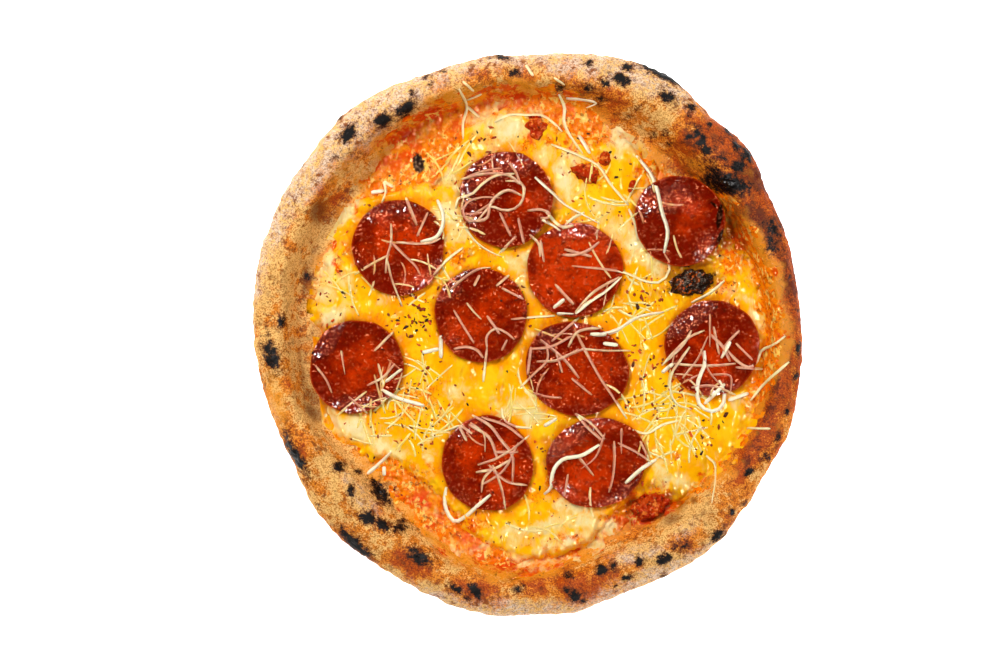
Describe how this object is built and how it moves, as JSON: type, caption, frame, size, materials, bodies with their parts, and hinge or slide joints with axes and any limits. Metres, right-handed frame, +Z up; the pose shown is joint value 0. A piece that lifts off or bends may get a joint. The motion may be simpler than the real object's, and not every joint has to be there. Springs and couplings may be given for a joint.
{
  "type": "pepperoni pizza",
  "caption": "Whole round pizza with a puffed scorched crust, melted cheese, cupped pepperoni slices, crushed tomato and grated cheese shreds.",
  "frame": {"origin": "on the flat underside, below the middle of the outline", "axes": "+Z up, out of the toppings; +X to the right and +Y to the top as the pizza is seen from above"},
  "size_m": [0.2979, 0.305, 0.0256],
  "materials": {
    "dough": "baked dough, floury and mottled, with black leopard spots",
    "sauce": "oily baked tomato sauce",
    "cheese": "melted, translucent and oily",
    "tomato": "wet crushed tomato",
    "scorched": "rough charred dough with oily glints",
    "pepperoni": "wrinkled, glossy with fat"
  },
  "bodies": {
    "root": {"crust": "dough", "tomato_sauce": "sauce", "melted_cheese": "cheese", "tomato_01": "tomato", "tomato_02": "tomato", "tomato_03": "tomato", "tomato_04": "tomato", "tomato_05": "tomato", "scorched_blister": "scorched", "pepperoni_01": "pepperoni", "pepperoni_02": "pepperoni", "pepperoni_03": "pepperoni", "pepperoni_04": "pepperoni", "pepperoni_05": "pepperoni", "pepperoni_06": "pepperoni", "pepperoni_07": "pepperoni", "pepperoni_08": "pepperoni", "pepperoni_09": "pepperoni", "pepperoni_10": "pepperoni"}
  },
  "joints": []
}
